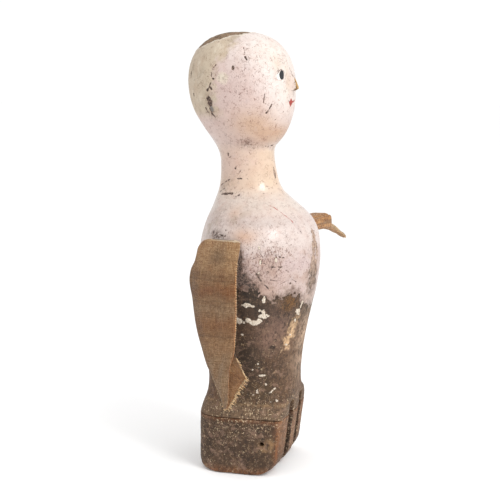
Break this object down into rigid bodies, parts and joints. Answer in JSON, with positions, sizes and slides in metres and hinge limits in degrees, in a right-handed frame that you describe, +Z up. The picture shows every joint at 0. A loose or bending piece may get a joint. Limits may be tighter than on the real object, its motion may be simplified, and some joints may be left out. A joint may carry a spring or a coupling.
{
  "type": "wooden mannequin doll torso",
  "caption": "Turned and carved wooden mannequin doll: head on a neck, swelling torso, slotted hip block and two swinging linen sleeves.",
  "frame": {"origin": "middle of the hip block's flat underside", "axes": "+Z up through the head; the face looks along -Y; +X is the figure's left"},
  "size_m": [0.2596, 0.1228, 0.3999],
  "materials": {
    "painted_gesso": "cracked oil paint over gesso, half gloss",
    "worn_gesso": "worn gesso over dark wood, satin",
    "bare_wood": "aged bare wood, matte",
    "joinery_wood": "plain wood, matte",
    "linen": "coarse stiffened linen, matte",
    "iron": "rusty, matte"
  },
  "bodies": {
    "figure": {"head": "painted_gesso", "nose": "joinery_wood", "neck_dowel": "joinery_wood", "torso": "worn_gesso", "hip_block": "bare_wood", "hip_dowels": "joinery_wood", "right_sleeve_band": "linen", "right_sleeve_tacks": "iron", "left_sleeve_band": "linen", "left_sleeve_tacks": "iron"},
    "right_sleeve": {"right_sleeve_upper": "linen"},
    "right_sleeve_end": {"right_sleeve_tail": "linen"},
    "left_sleeve": {"left_sleeve_upper": "linen"},
    "left_sleeve_end": {"left_sleeve_tail": "linen"}
  },
  "joints": [
    {"name": "right_shoulder", "type": "hinge", "parent": "figure", "child": "right_sleeve", "pos_m": [-0.0645, 0.01, 0.209], "axis": [0, 1, 0], "range_deg": [0, 100]},
    {"name": "right_elbow", "type": "hinge", "parent": "right_sleeve", "child": "right_sleeve_end", "pos_m": [-0.0647, 0.013, 0.111], "axis": [0, 1, 0], "range_deg": [-12, 70]},
    {"name": "left_shoulder", "type": "hinge", "parent": "figure", "child": "left_sleeve", "pos_m": [0.0645, 0.01, 0.209], "axis": [0, 1, 0], "range_deg": [-20, 80]},
    {"name": "left_elbow", "type": "hinge", "parent": "left_sleeve", "child": "left_sleeve_end", "pos_m": [0.1504, -0.0284, 0.2105], "axis": [0, 1, 0], "range_deg": [-25, 25]}
  ]
}
